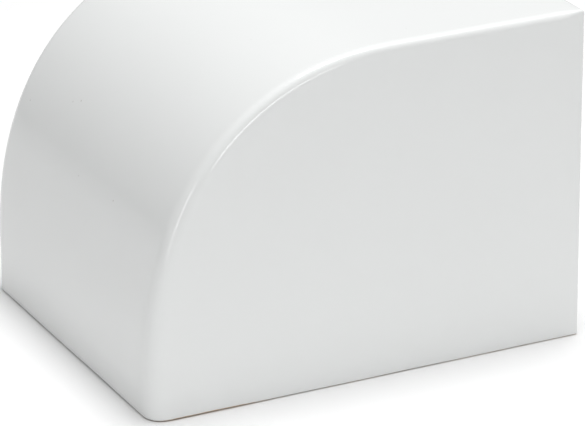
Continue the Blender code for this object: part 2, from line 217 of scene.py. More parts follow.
# Steel sheet and screws
STEEL_SHADES = ((0.50, 0.50, 0.51), (0.68, 0.68, 0.68))
STEEL_ROUGHNESS = (0.26, 0.42)
STEEL_ANISOTROPY = 0.4
STAIN_COLOUR = (0.50, 0.48, 0.45)
STAIN_STRENGTH = 0.35
BRUSHED_ALONG_X = (1.0, 40.0, 40.0)
UNBRUSHED = (1.0, 1.0, 1.0)

# GAP is the play between fitted pieces; cutters reach OVERCUT past a face they open.
GAP = 0.0003
OVERCUT = 0.001
CORNERS = ((-1, -1), (1, -1), (1, 1), (-1, 1))
HOOPS = [f"rack_hoop_{i}" for i in range(1, 8)]
RAILS = ("toast_rail_left", "toast_rail_right")
SCREWS = [f"base_screw_{i}" for i in range(1, 7)]

# Floor: pale near the object, and darkened far away by painted shade
FLOOR_HALF = 6.0
FLOOR_SHEET = 0.01
FLOOR_PALE = (0.90, 0.90, 0.90)
FLOOR_PAINTED_SHADE = (0.72, 0.72, 0.72)
FLOOR_NEAR = 0.4
FLOOR_FAR = 2.0

# Sky: an even part, and glows by azimuth, elevation, cosine at the edge, and added strength
SKY_EVEN = 0.15
SKY_GLOWS = (
    (0.0, 90.0, 0.6, 0.90),
    (243.6, 15.0, 0.5, 0.20),
    (90.0, 10.0, 0.3, 0.13),
    (50.0, 10.0, 0.5, 0.19),
)

# Softboxes: name, azimuth, elevation, distance, width, height, radiance and spread
GRID_SPREAD = math.radians(100.0)
SOFTBOXES = (
    ("left_softbox", 35.0, 10.0, 1.3, 0.10, 0.56, 6.4, GRID_SPREAD),
    ("right_softbox", 96.0, 2.5, 1.3, 0.62, 0.14, 6.0, GRID_SPREAD),
    ("wide_top_softbox", 166.0, 78.0, 1.6, 1.15, 1.15, 1.2, math.pi),
    ("top_softbox", 180.0, 84.0, 1.6, 0.7, 0.7, 6.9, math.pi),
)


# ---------------------------------------------------------------- materials


def new_material(name):
    material = bpy.data.materials.new(name)
    material.use_nodes = True
    tree = material.node_tree
    return material, tree, tree.nodes["Principled BSDF"]


def add_node(tree, kind, inputs=None, **settings):
    node = tree.nodes.new(kind)
    for key, value in settings.items():
        setattr(node, key, value)
    for key, value in (inputs or {}).items():
        if isinstance(value, bpy.types.NodeSocket):
            tree.links.new(value, node.inputs[key])
        else:
            node.inputs[key].default_value = value
    return node


def object_place(tree, scale=(1.0, 1.0, 1.0), location=(0.0, 0.0, 0.0)):
    """Object coordinates in metres, scaled and shifted."""
    coordinates = add_node(tree, "ShaderNodeTexCoord")
    inputs = {"Vector": coordinates.outputs["Object"], "Scale": scale, "Location": location}
    return add_node(tree, "ShaderNodeMapping", inputs).outputs["Vector"]


def stretched(tree, place, scale):
    return add_node(tree, "ShaderNodeMapping", {"Vector": place, "Scale": scale}).outputs["Vector"]


def vector_node(tree, operation, first, second):
    return add_node(tree, "ShaderNodeVectorMath", {0: first, 1: second}, operation=operation)


def noise_value(tree, place, scale, detail=2.0, roughness=0.5):
    inputs = {"Vector": place, "Scale": scale, "Detail": detail, "Roughness": roughness}
    return add_node(tree, "ShaderNodeTexNoise", inputs).outputs["Fac"]


def to_range(tree, value, low, high, new_low, new_high, smooth=False):
    """A value moved from the range low to high to a new range, and held inside it."""
    inputs = {"Value": value, "From Min": low, "From Max": high, "To Min": new_low, "To Max": new_high}
    kind = "SMOOTHSTEP" if smooth else "LINEAR"
    return add_node(tree, "ShaderNodeMapRange", inputs, interpolation_type=kind).outputs["Result"]


def mix_colour(tree, factor, first, second):
    node = add_node(tree, "ShaderNodeMix", data_type="RGBA")
    for socket, value in zip((node.inputs[0], node.inputs[6], node.inputs[7]), (factor, first, second)):
        if isinstance(value, bpy.types.NodeSocket):
            tree.links.new(value, socket)
        elif isinstance(value, float):
            socket.default_value = value
        else:
            socket.default_value = (*value, 1.0)
    return node.outputs[2]


def calculate(tree, operation, first, second):
    node = add_node(tree, "ShaderNodeMath", operation=operation)
    for socket, value in zip(node.inputs, (first, second)):
        if isinstance(value, bpy.types.NodeSocket):
            tree.links.new(value, socket)
        else:
            socket.default_value = value
    return node.outputs[0]


def bump(tree, height, strength, distance):
    inputs = {"Height": height, "Strength": strength, "Distance": distance}
    return add_node(tree, "ShaderNodeBump", inputs).outputs["Normal"]


def glaze_material():
    """Gloss white glaze with faint pooling, specks, and an unglazed clay foot, raised near a front corner
    as a painted warm reflection.
    """
    material, tree, shader = new_material("white_glaze")
    place = object_place(tree)
    white = mix_colour(tree, noise_value(tree, place, scale=14.0, detail=3.0), *GLAZE_SHADES)

    specks = add_node(tree, "ShaderNodeTexVoronoi", {"Vector": place, "Scale": SPECK_SCALE})
    speck_pick = add_node(tree, "ShaderNodeSeparateColor", {"Color": specks.outputs["Color"]})
    rare = calculate(tree, "GREATER_THAN", speck_pick.outputs["Red"], SPECK_PICK)
    size = to_range(tree, speck_pick.outputs["Green"], 0.0, 1.0, *SPECK_SIZES)
    near = calculate(tree, "SUBTRACT", size, specks.outputs["Distance"])
    dot = calculate(tree, "MULTIPLY", to_range(tree, near, 0.0, SPECK_SOFTNESS, 0.0, 1.0, True), rare)
    speckled = mix_colour(tree, calculate(tree, "MULTIPLY", dot, SPECK_STRENGTH), white, SPECK_COLOUR)

    height = add_node(tree, "ShaderNodeSeparateXYZ", {"Vector": place}).outputs["Z"]
    ragged = noise_value(tree, place, scale=180.0, detail=3.0)
    ragged = calculate(tree, "MULTIPLY", ragged, CLAY_RAGGEDNESS)
    # painted reflection: near one front corner the clay colour rises higher up the rim, standing in for
    # warm light from the oak base under it
    corner = (HOOD_SIDE, HOOD_LOW.y + PAINTED_REFLECTION_INTO, 0.0)
    away = vector_node(tree, "DISTANCE", place, corner).outputs["Value"]
    painted_reflection_rise = to_range(tree, away, PAINTED_REFLECTION_CORE, PAINTED_REFLECTION_REACH, PAINTED_REFLECTION_RISE, 0.0, True)
    level = calculate(tree, "SUBTRACT", calculate(tree, "ADD", height, ragged), painted_reflection_rise)
    foot = to_range(tree, level, *CLAY_LEVELS, 1.0, 0.0, True)
    grain = noise_value(tree, place, scale=900.0, detail=4.0, roughness=0.7)
    clay = mix_colour(tree, grain, *CLAY_SHADES)
    tree.links.new(mix_colour(tree, foot, speckled, clay), shader.inputs["Base Color"])

    smears = noise_value(tree, place, scale=60.0, detail=4.0)
    gloss = to_range(tree, smears, 0.3, 0.7, *GLAZE_ROUGHNESS)
    rough = add_node(tree, "ShaderNodeMix", {0: foot, 2: gloss, 3: CLAY_ROUGHNESS}).outputs[0]
    tree.links.new(rough, shader.inputs["Roughness"])
    shader.inputs["IOR"].default_value = GLAZE_IOR

    peel = noise_value(tree, place, scale=320.0, detail=2.0)
    dimpled = calculate(tree, "SUBTRACT", calculate(tree, "MULTIPLY", peel, GLAZE_PEEL), dot)
    tree.links.new(bump(tree, dimpled, strength=0.25, distance=0.0002), shader.inputs["Normal"])
    return material


def oak_material(name, shift, tone=1.0):
    """Oiled oak whose grain runs along the object's Y."""
    material, tree, shader = new_material(name)
    place = object_place(tree, location=shift)
    along = stretched(tree, place, OAK_RING_STRETCH)
    drift = calculate(tree, "MULTIPLY", noise_value(tree, along, scale=26.0, detail=3.0), OAK_DRIFT)
    offset = add_node(tree, "ShaderNodeCombineXYZ", {"X": drift, "Z": drift}).outputs["Vector"]
    moved = vector_node(tree, "ADD", along, offset).outputs["Vector"]
    rings = add_node(
        tree,
        "ShaderNodeTexWave",
        {"Vector": moved, "Scale": 62.0, "Distortion": 3.5, "Detail": 3.0, "Detail Scale": 1.5},
        bands_direction="X",
        wave_profile="SAW",
    ).outputs["Fac"]
    light, dark = (tuple(tone * part for part in colour) for colour in (OAK_LIGHT, OAK_DARK))
    figured = mix_colour(tree, calculate(tree, "MULTIPLY", rings, OAK_RING_STRENGTH), light, dark)
    fibres = stretched(tree, place, OAK_PORE_STRETCH)
    pores = noise_value(tree, fibres, scale=1500.0, detail=2.0, roughness=0.6)
    pore_mask = to_range(tree, pores, *OAK_PORE_LEVELS, 0.0, 1.0, True)
    pored = mix_colour(tree, calculate(tree, "MULTIPLY", pore_mask, OAK_PORE_STRENGTH), figured, OAK_PORE)
    tree.links.new(pored, shader.inputs["Base Color"])
    rough = to_range(tree, rings, 0.0, 1.0, *OAK_ROUGHNESS)
    tree.links.new(rough, shader.inputs["Roughness"])
    relief = calculate(tree, "SUBTRACT", calculate(tree, "MULTIPLY", rings, 0.25), pore_mask)
    tree.links.new(bump(tree, relief, strength=0.35, distance=0.00015), shader.inputs["Normal"])
    return material


def polished_wire_material():
    """Bright stainless wire with faint drawing lines and finger marks."""
    material, tree, shader = new_material("polished_wire")
    place = object_place(tree)
    colour = mix_colour(tree, noise_value(tree, place, scale=90.0, detail=3.0), *WIRE_SHADES)
    tree.links.new(colour, shader.inputs["Base Color"])
    shader.inputs["Metallic"].default_value = 1.0
    smear = noise_value(tree, place, scale=240.0, detail=4.0, roughness=0.6)
    tree.links.new(to_range(tree, smear, 0.3, 0.7, *WIRE_ROUGHNESS), shader.inputs["Roughness"])
    tree.links.new(bump(tree, smear, strength=0.08, distance=0.0001), shader.inputs["Normal"])
    return material


def steel_material(name, brushing):
    """Satin steel with fine lines, drawn out along the axis whose brushing scale is least."""
    material, tree, shader = new_material(name)
    brushed = object_place(tree, scale=brushing)
    lines = noise_value(tree, brushed, scale=60.0, detail=5.0, roughness=0.65)
    base = mix_colour(tree, lines, *STEEL_SHADES)
    stains = noise_value(tree, object_place(tree), scale=35.0, detail=3.0)
    stain_mask = to_range(tree, stains, 0.45, 0.75, 0.0, STAIN_STRENGTH)
    stained = mix_colour(tree, stain_mask, base, STAIN_COLOUR)
    tree.links.new(stained, shader.inputs["Base Color"])
    shader.inputs["Metallic"].default_value = 1.0
    rough = to_range(tree, lines, 0.25, 0.75, *STEEL_ROUGHNESS)
    tree.links.new(rough, shader.inputs["Roughness"])
    shader.inputs["Anisotropic"].default_value = STEEL_ANISOTROPY
    tree.links.new(bump(tree, lines, strength=0.12, distance=0.00008), shader.inputs["Normal"])
    return material


def rubber_material(name, shades, roughness):
    """Moulded rubber with a fine matt grain and a little dust."""
    material, tree, shader = new_material(name)
    place = object_place(tree)
    dust = noise_value(tree, place, scale=220.0, detail=4.0, roughness=0.65)
    colour = mix_colour(tree, to_range(tree, dust, 0.35, 0.75, 0.0, 1.0), *shades)
    tree.links.new(colour, shader.inputs["Base Color"])
    tree.links.new(to_range(tree, dust, 0.3, 0.7, roughness, roughness + 0.15), shader.inputs["Roughness"])
    grain = noise_value(tree, place, scale=2600.0, detail=2.0)
    tree.links.new(bump(tree, grain, strength=0.25, distance=0.00008), shader.inputs["Normal"])
    return material


# ---------------------------------------------------------------- mesh tools

# FACE_FRONT turns a shape drawn in XY upright, so that its +Z faces the front, -Y.
FACE_FRONT = Matrix.Rotation(math.pi / 2, 4, "X")
MERGE_DISTANCE = 1e-6
NO_LENGTH = 1e-7
BEVEL_ANGLE = 40.0


def clean_normals(mesh, sharp_angle):
    """Welds the mesh, faces it outward, and shades it smooth except at sharp edges."""
    bm = bmesh.new()
    bm.from_mesh(mesh)
    bmesh.ops.remove_doubles(bm, verts=bm.verts, dist=MERGE_DISTANCE)
    bmesh.ops.dissolve_degenerate(bm, edges=bm.edges, dist=NO_LENGTH)
    bmesh.ops.recalc_face_normals(bm, faces=bm.faces)
    bm.to_mesh(mesh)
    bm.free()
    mesh.shade_smooth()
    mesh.set_sharp_from_angle(angle=math.radians(sharp_angle))


def baked(holder):
    """The mesh of an object with its modifiers applied; the object is removed."""
    depsgraph = bpy.context.evaluated_depsgraph_get()
    mesh = bpy.data.meshes.new_from_object(holder.evaluated_get(depsgraph))
    bpy.data.objects.remove(holder, do_unlink=True)
    return mesh


def new_object(name, mesh):
    holder = bpy.data.objects.new(name, mesh)
    bpy.context.scene.collection.objects.link(holder)
    return holder


def boolean_all(mesh, cutters, operation="DIFFERENCE"):
    """A mesh with every cutter mesh, all in the same frame, cut away or joined on."""
    collection = bpy.data.collections.new("cutters")
    holders = []
    for cutter in cutters:
        holder = bpy.data.objects.new("cutter", cutter)
        collection.objects.link(holder)
        holders.append(holder)
    bpy.context.scene.collection.children.link(collection)
    body = new_object("boolean_body", mesh)
    modifier = body.modifiers.new("boolean", "BOOLEAN")
    modifier.operation = operation
    modifier.operand_type = "COLLECTION"
    modifier.collection = collection
    modifier.solver = "MANIFOLD"
    result = baked(body)
    for holder in holders:
        bpy.data.objects.remove(holder, do_unlink=True)
    bpy.data.collections.remove(collection)
    return result


def bevelled(mesh, width, segments=3):
    """A mesh with its edges sharper than BEVEL_ANGLE rounded off."""
    body = new_object("bevel_body", mesh)
    modifier = body.modifiers.new("bevel", "BEVEL")
    modifier.width = width
    modifier.segments = segments
    modifier.limit_method = "ANGLE"
    modifier.angle_limit = math.radians(BEVEL_ANGLE)
    return baked(body)


def box_mesh(low, high):
    bm = bmesh.new()
    bmesh.ops.create_cube(bm, size=1.0)
    low, high = Vector(low), Vector(high)
    bmesh.ops.scale(bm, vec=high - low, verts=bm.verts)
    bmesh.ops.translate(bm, vec=(low + high) / 2, verts=bm.verts)
    mesh = bpy.data.meshes.new("box")
    bm.to_mesh(mesh)
    bm.free()
    return mesh


def turned_mesh(profile, matrix, steps):
    """A solid of revolution about Z from a profile of (radius, z), top to bottom."""
    rings = []
    bm = bmesh.new()
    for radius, z in profile:
        if radius < NO_LENGTH:
            rings.append([bm.verts.new((0.0, 0.0, z))])
            continue
        angles = [2 * math.pi * i / steps for i in range(steps)]
        rings.append([bm.verts.new((radius * math.cos(a), radius * math.sin(a), z)) for a in angles])
    for upper, lower in zip(rings, rings[1:]):
        for i in range(steps):
            j = (i + 1) % steps
            corners = [upper[i % len(upper)], lower[i % len(lower)]]
            corners += [lower[j % len(lower)], upper[j % len(upper)]]
            corners = list(dict.fromkeys(corners))
            if len(corners) > 2:
                bm.faces.new(corners)
    bmesh.ops.remove_doubles(bm, verts=bm.verts, dist=NO_LENGTH)
    bmesh.ops.recalc_face_normals(bm, faces=bm.faces)
    mesh = bpy.data.meshes.new("turned")
    bm.to_mesh(mesh)
    bm.free()
    mesh.transform(matrix)
    return mesh


def quarter(steps):
    """Angles of a quarter turn in even steps, both ends included."""
    return [math.pi / 2 * k / steps for k in range(steps + 1)]


def rounded_rectangle(low, high, radius, steps=8):
    """An anticlockwise outline in XY whose four corners are arcs."""
    (x0, y0), (x1, y1) = low, high
    corners = (
        (x1 - radius, y0 + radius, -90.0),
        (x1 - radius, y1 - radius, 0.0),
        (x0 + radius, y1 - radius, 90.0),
        (x0 + radius, y0 + radius, 180.0),
    )
    points = []
    for x, y, start in corners:
        for i in range(steps + 1):
            angle = math.radians(start + 90.0 * i / steps)
            points.append((x + radius * math.cos(angle), y + radius * math.sin(angle)))
    return points


def slab_mesh(outline, bottom, top):
    """A flat outline in XY between two heights."""
    bm = bmesh.new()
    face = bm.faces.new([bm.verts.new((x, y, bottom)) for x, y in outline])
    extruded = bmesh.ops.extrude_face_region(bm, geom=[face])["geom"]
    moved = [item for item in extruded if isinstance(item, bmesh.types.BMVert)]
    bmesh.ops.translate(bm, vec=(0.0, 0.0, top - bottom), verts=moved)
    bmesh.ops.recalc_face_normals(bm, faces=bm.faces)
    mesh = bpy.data.meshes.new("slab")
    bm.to_mesh(mesh)
    bm.free()
    return mesh


def wire_mesh(points, closed=False):
    """A round wire along a polyline, with flat ends when it is open."""
    curve = bpy.data.curves.new("wire", "CURVE")
    curve.dimensions = "3D"
    curve.bevel_depth = WIRE_RADIUS
    curve.bevel_resolution = 6
    curve.use_fill_caps = not closed
    spline = curve.splines.new("POLY")
    spline.points.add(len(points) - 1)
    for point, place in zip(spline.points, points):
        point.co = (*place, 1.0)
    spline.use_cyclic_u = closed
    return baked(new_object("wire", curve))


def bent_path(corners, radius, steps=12):
    """A polyline whose inner corners, all right angles, are bent to a radius."""
    points = [Vector(corners[0])]
    for before, corner, after in zip(corners, corners[1:], corners[2:]):
        corner = Vector(corner)
        back = (Vector(before) - corner).normalized() * radius
        ahead = (Vector(after) - corner).normalized() * radius
        for angle in quarter(steps):
            points.append(corner + back * (1.0 - math.sin(angle)) + ahead * (1.0 - math.cos(angle)))
    points.append(Vector(corners[-1]))
    return points


def add_piece(name, mesh, body, slot, material, *nodes, sharp_angle=35.0):
    """One visible piece: cleaned, given its material, tied to its body, and hiding the CAD nodes it stands
    for.
    """
    clean_normals(mesh, sharp_angle)
    mesh.materials.clear()
    mesh.materials.append(material)
    piece = new_object(name, mesh)
    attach(piece, body)
    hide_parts(*nodes)


# ---------------------------------------------------------------- hood


def evenly(points, count, keep_last=False):
    """Points resampled to even spacing along their polyline."""
    steps = np.linalg.norm(np.diff(points, axis=0), axis=1)
    along = np.concatenate([[0.0], np.cumsum(steps)])
    wanted = np.linspace(0.0, along[-1], count + 1)
    if not keep_last:
        wanted = wanted[:-1]
    return np.stack([np.interp(wanted, along, points[:, k]) for k in range(2)], axis=1)


def hood_stations(inset, foot):
    """Places (y, z), inward normals and edge radii along the hood's side outline."""
    front = HOOD_LOW.y + inset
    back = HOOD_HIGH.y - inset
    top = HOOD_HIGH.z - inset
    depth = CURVE_DEPTH_SHARE * HOOD_DEPTH - inset
    corner = max(TOP_BACK_RADIUS - inset, INNER_TOP_BACK_RADIUS)
    angle = np.linspace(0.0, math.pi / 2, CURVE_SAMPLES)
    curve_y = front + depth * (1.0 - np.cos(angle) ** (2.0 / CURVE_POWER))
    curve_z = UPRIGHT_HEIGHT + (top - UPRIGHT_HEIGHT) * np.sin(angle) ** (2.0 / CURVE_POWER)
    arc_y = back - corner + corner * np.sin(angle)
    arc_z = top - corner + corner * np.cos(angle)
    parts = (
        ("upright", np.array([[front, foot], [front, UPRIGHT_HEIGHT]])),
        ("curve", np.stack([curve_y, curve_z], axis=1)),
        ("roof", np.array([[front + depth, top], [back - corner, top]])),
        ("corner", np.stack([arc_y, arc_z], axis=1)),
        ("back", np.array([[back, top - corner], [back, foot]])),
    )
    places = np.concatenate([evenly(line, STATIONS[key], key == "back") for key, line in parts])
    ahead = np.gradient(places, axis=0)
    ahead /= np.linalg.norm(ahead, axis=1)[:, None]
    inward = np.stack([ahead[:, 1], -ahead[:, 0]], axis=1)

    rise = np.clip((places[:, 1] - UPRIGHT_HEIGHT) / (HOOD_HIGH.z - UPRIGHT_HEIGHT), 0.0, 1.0)
    radius = FRONT_EDGE_RADIUS + (TOP_EDGE_RADIUS - FRONT_EDGE_RADIUS) * rise
    to_back = np.clip((places[:, 0] - (back - EDGE_BLEND_LENGTH)) / EDGE_BLEND_LENGTH, 0.0, 1.0)
    ease = to_back * to_back * (3.0 - 2.0 * to_back)
    radius = radius + (BACK_EDGE_RADIUS - radius) * ease
    if inset:
        least = INNER_EDGE_RADIUS * (1.0 - ease) + INNER_BACK_EDGE_RADIUS * ease
        radius = np.maximum(radius - inset, least)
    return places, inward, radius


def hood_skin(inset, foot):
    """Vertices, faces and bottom loop of one skin of the hood, open underneath."""
    places, inward, radius = hood_stations(inset, foot)
    side = HOOD_SIDE - inset
    turn = np.linspace(0.0, math.pi / 2, EDGE_SEGMENTS + 1)
    vertices = []
    for place, normal, r in zip(places, inward, radius):
        left_x = -side + r * (1.0 - np.cos(turn) ** (2.0 / EDGE_POWER))
        sink = r * (1.0 - np.sin(turn) ** (2.0 / EDGE_POWER))
        middle_x = np.linspace(-side + r, side - r, ACROSS_SEGMENTS + 1)[1:-1]
        xs = np.concatenate([left_x, middle_x, -left_x[::-1]])
        sinks = np.concatenate([sink, np.zeros(len(middle_x)), sink[::-1]])
        for x, s in zip(xs, sinks):
            vertices.append((x, place[0] + normal[0] * s, place[1] + normal[1] * s))
    rows = len(places)
    columns = len(vertices) // rows

    def index(i, j):
        return i * columns + j

    faces = []
    for i in range(rows - 1):
        for j in range(columns - 1):
            faces.append((index(i, j), index(i, j + 1), index(i + 1, j + 1), index(i + 1, j)))

    def fill_side(column):
        """Rings from one side's edge to a pole inside the panel; returns its bottom row."""
        start, end = np.array(vertices[index(rows - 1, column)]), np.array(vertices[index(0, column)])
        bottom = []
        for k in range(1, SIDE_BOTTOM_SEGMENTS):
            bottom.append(len(vertices))
            vertices.append(tuple(start + (end - start) * k / SIDE_BOTTOM_SEGMENTS))
        ring = [index(i, column) for i in range(rows)] + bottom
        pole = np.array((vertices[ring[0]][0], SIDE_POLE_Y, SIDE_POLE_HEIGHT_SHARE * HOOD_HIGH.z))
        edge = np.array([vertices[v] for v in ring])
        for u in range(1, SIDE_RINGS):
            share = u / SIDE_RINGS
            inner = []
            for point in edge + (pole - edge) * share:
                inner.append(len(vertices))
                vertices.append(tuple(point))
            for k in range(len(ring)):
                n = (k + 1) % len(ring)
                faces.append((ring[k], ring[n], inner[n], inner[k]))
            ring = inner
        tip = len(vertices)
        vertices.append(tuple(pole))
        for k in range(len(ring)):
            faces.append((ring[k], ring[(k + 1) % len(ring)], tip))
        return bottom

    left_bottom = fill_side(0)
    right_bottom = fill_side(columns - 1)
    loop = [index(0, j) for j in range(columns)] + right_bottom[::-1]
    loop += [index(rows - 1, j) for j in reversed(range(columns))] + left_bottom
    return vertices, faces, loop


def loop_inward(points):
    """Horizontal inward normals of an anticlockwise loop."""
    ahead = np.roll(points, -1, axis=0) - np.roll(points, 1, axis=0)
    ahead = ahead[:, :2] / np.linalg.norm(ahead[:, :2], axis=1)[:, None]
    return np.stack([-ahead[:, 1], ahead[:, 0], np.zeros(len(points))], axis=1)


def share_above(value, start):
    """How far a value has come from start, 0, to the full size, 1."""
    return min(max((value - start) / (1.0 - start), 0.0), 1.0)


def waved(point):
    """A casting's slight unevenness: walls sink a little, and the rim rises a little."""
    x, y, z = point
    lean = noise.noise(Vector([scale * part for scale, part in zip(WALL_WAVE_SCALE, point)]))
    sink = WALL_WAVE * (0.5 + 0.5 * lean)
    ripple = noise.noise(Vector((x, y, 0.0)) * RIM_WAVE_SCALE + Vector(RIM_WAVE_PLACE))
    lift = RIM_WAVE * max(0.0, RIM_WAVE_LEVEL + ripple) + RIM_WARP * max(0.0, y / HOOD_LOW.y)
    lift *= max(0.0, 1.0 - z / RIM_UNEVEN_HEIGHT)
    return (
        x - math.copysign(sink, x) * share_above(abs(x) / HOOD_SIDE, SIDE_WAVE_FROM),
        y - math.copysign(sink, y) * share_above(abs(y) / HOOD_HIGH.y, END_WAVE_FROM),
        z + lift - sink * share_above(z / HOOD_HIGH.z, ROOF_WAVE_FROM),
    )


def hood_mesh():
    """The shell: a waved outer skin, an inner skin, and a rounded rim between their loops."""
    foot = RIM_HEIGHT + RIM_RADIUS
    outer_vertices, faces, outer_loop = hood_skin(0.0, foot)
    inner_vertices, inner_faces, inner_loop = hood_skin(HOOD_WALL, foot)
    vertices = [waved(point) for point in outer_vertices]
    start = len(vertices)
    vertices += inner_vertices
    faces += [tuple(start + v for v in reversed(face)) for face in inner_faces]
    inner_loop = [start + v for v in inner_loop]

    outer = np.array([vertices[v] for v in outer_loop])
    inner = np.array([vertices[v] for v in inner_loop])
    outer_in = loop_inward(outer)
    inner_out = -loop_inward(inner)
    turns = quarter(RIM_STEPS)[1:]
    profiles = [outer + outer_in * RIM_RADIUS * (1.0 - math.cos(turn)) for turn in turns]
    profiles += [inner + inner_out * RIM_RADIUS * (1.0 - math.cos(turn)) for turn in turns[::-1]]
    rings = [outer_loop]
    for profile, turn in zip(profiles, turns + turns[::-1]):
        profile[:, 2] -= RIM_RADIUS * math.sin(turn)
        first = len(vertices)
        vertices += [tuple(point) for point in profile]
        rings.append(list(range(first, first + len(profile))))
    rings.append(inner_loop)
    for upper, lower in zip(rings, rings[1:]):
        for k in range(len(upper)):
            n = (k + 1) % len(upper)
            faces.append((upper[k], lower[k], lower[n], upper[n]))

    mesh = bpy.data.meshes.new("hood_shell")
    mesh.from_pydata([tuple(map(float, v)) for v in vertices], [], faces)
    clean_normals(mesh, 35.0)
    return mesh


def flared_hole(radius, depth, lip, matrix):
    """A cutter for a round hole whose two mouths are softened by a lip."""
    profile = [(0.0, depth / 2 + lip), (radius + lip, depth / 2 + lip)]
    for turn in quarter(6):
        profile.append((radius + lip * (1.0 - math.sin(turn)), depth / 2 - lip * (1.0 - math.cos(turn))))
    lower = [(r, -z) for r, z in reversed(profile)]
    return turned_mesh(profile + lower, matrix, steps=40)


def make_hood(material):
    mesh = hood_mesh()
    inner_x = HOOD_SIDE - HOOD_WALL
    inner_y = HOOD_HIGH.y - HOOD_WALL
    lug_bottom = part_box("rest_pad_1")[1].z + GAP
    lugs = []
    for sx, sy in CORNERS:
        xs = sorted((sx * (inner_x + LUG_INTO_WALL), sx * (inner_x - LUG_SIZE[0])))
        ys = sorted((sy * (inner_y + LUG_INTO_WALL), sy * (inner_y - LUG_SIZE[1])))
        lug = box_mesh((xs[0], ys[0], lug_bottom), (xs[1], ys[1], lug_bottom + LUG_SIZE[2]))
        lugs.append(bevelled(lug, LUG_EDGE))
    mesh = boolean_all(mesh, lugs, "UNION")

    tray_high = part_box("crumb_tray")[1]
    notch_side = tray_high.x + NOTCH_SIDE_GAP
    notch_top = tray_high.z + NOTCH_TOP_GAP
    outline = rounded_rectangle((-notch_side, -notch_top), (notch_side, notch_top), NOTCH_CORNER)
    notch = slab_mesh(outline, 0.0, 4 * HOOD_WALL)
    notch.transform(Matrix.Translation((0.0, inner_y + 3 * HOOD_WALL, 0.0)) @ FACE_FRONT)
    cutters = [notch]
    for i in range(VENT_COUNT):
        x = (i - (VENT_COUNT - 1) / 2) * VENT_PITCH
        place = Matrix.Translation((x, HOOD_HIGH.y - HOOD_WALL / 2, VENT_HEIGHT))
        cutters.append(flared_hole(VENT_RADIUS, HOOD_WALL, VENT_LIP, place @ FACE_FRONT))
    mesh = boolean_all(mesh, cutters)
    add_piece("glazed_hood", mesh, "hood_body", "glaze", material, "hood", sharp_angle=40.0)


# ---------------------------------------------------------------- base


def board_mesh(node, corner):
    low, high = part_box(node)
    outline = rounded_rectangle((low.x, low.y), (high.x, high.y), corner)
    return bevelled(slab_mesh(outline, low.z, high.z), BOARD_EDGE)


def middle_of(node):
    low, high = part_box(node)
    return (low + high) / 2


def onto_axis(node):
    """A move from the origin to a node's upright axis, at the same height."""
    centre = middle_of(node)
    return Matrix.Translation((centre.x, centre.y, 0.0))


def wire_socket(top, x, y):
    """A cutter for a blind round hole in a face at top, its mouth chamfered."""
    over = 4 * SOCKET_CHAMFER
    bottom = top - SOCKET_DEPTH
    profile = [
        (0.0, top + over),
        (SOCKET_RADIUS + SOCKET_CHAMFER + over, top + over),
        (SOCKET_RADIUS, top - SOCKET_CHAMFER),
        (SOCKET_RADIUS, bottom),
        (0.0, bottom),
    ]
    return turned_mesh(profile, Matrix.Translation((x, y, 0.0)), steps=32)


def screw_hole(screw, bottom, top):
    """A cutter for a plain hole on a screw's axis."""
    profile = [(0.0, top), (SOCKET_RADIUS, top), (SOCKET_RADIUS, bottom), (0.0, bottom)]
    return turned_mesh(profile, onto_axis(screw), steps=24)


def make_top_board(material):
    low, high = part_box("top_board")
    mesh = board_mesh("top_board", BOARD_CORNER)
    outline = rounded_rectangle(WINDOW_LOW, WINDOW_HIGH, WINDOW_CORNER)
    cutters = [slab_mesh(outline, low.z - WINDOW_OVERCUT, high.z + WINDOW_OVERCUT)]
    for node in HOOPS:
        wire_low, wire_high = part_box(node)
        for x in (wire_low.x + WIRE_RADIUS, wire_high.x - WIRE_RADIUS):
            cutters.append(wire_socket(high.z, x, middle_of(node).y))
    for node in RAILS:
        wire_low, wire_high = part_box(node)
        for y in (wire_low.y + WIRE_RADIUS, wire_high.y - WIRE_RADIUS):
            cutters.append(wire_socket(high.z, middle_of(node).x, y))
    for node in SCREWS:
        cutters.append(screw_hole(node, 0.0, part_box(node)[1].z + GAP))
    mesh = boolean_all(mesh, cutters)
    add_piece("oak_top_board", mesh, "base", "oak", material, "top_board")


def make_bottom_plate(material):
    low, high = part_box("bottom_plate")
    mesh = board_mesh("bottom_plate", BOARD_CORNER)
    mouth = SCREW_HEAD_RADIUS + 2 * GAP
    cutters = []
    for node in SCREWS:
        profile = [
            (0.0, high.z + OVERCUT),
            (SOCKET_RADIUS, high.z + OVERCUT),
            (SOCKET_RADIUS, low.z + SCREW_HEAD_HEIGHT + GAP),
            (mouth, low.z + GAP),
            (mouth + SINK_CHAMFER, low.z - OVERCUT),
            (0.0, low.z - OVERCUT),
        ]
        cutters.append(turned_mesh(profile, onto_axis(node), steps=40))
    add_piece("oak_bottom_plate", boolean_all(mesh, cutters), "base", "oak", material, "bottom_plate")


def make_runners(material):
    for node in ("runner_left", "runner_right"):
        low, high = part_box(node)
        cutters = []
        for screw in SCREWS:
            if low.x < middle_of(screw).x < high.x:
                cutters.append(screw_hole(screw, low.z - OVERCUT, high.z + OVERCUT))
        mesh = boolean_all(board_mesh(node, 2 * BOARD_EDGE), cutters)
        add_piece("oak_" + node, mesh, "base", "oak", material, node)
    mesh = board_mesh("front_rail", 2 * BOARD_EDGE)
    add_piece("oak_front_rail", mesh, "base", "oak", material, "front_rail")


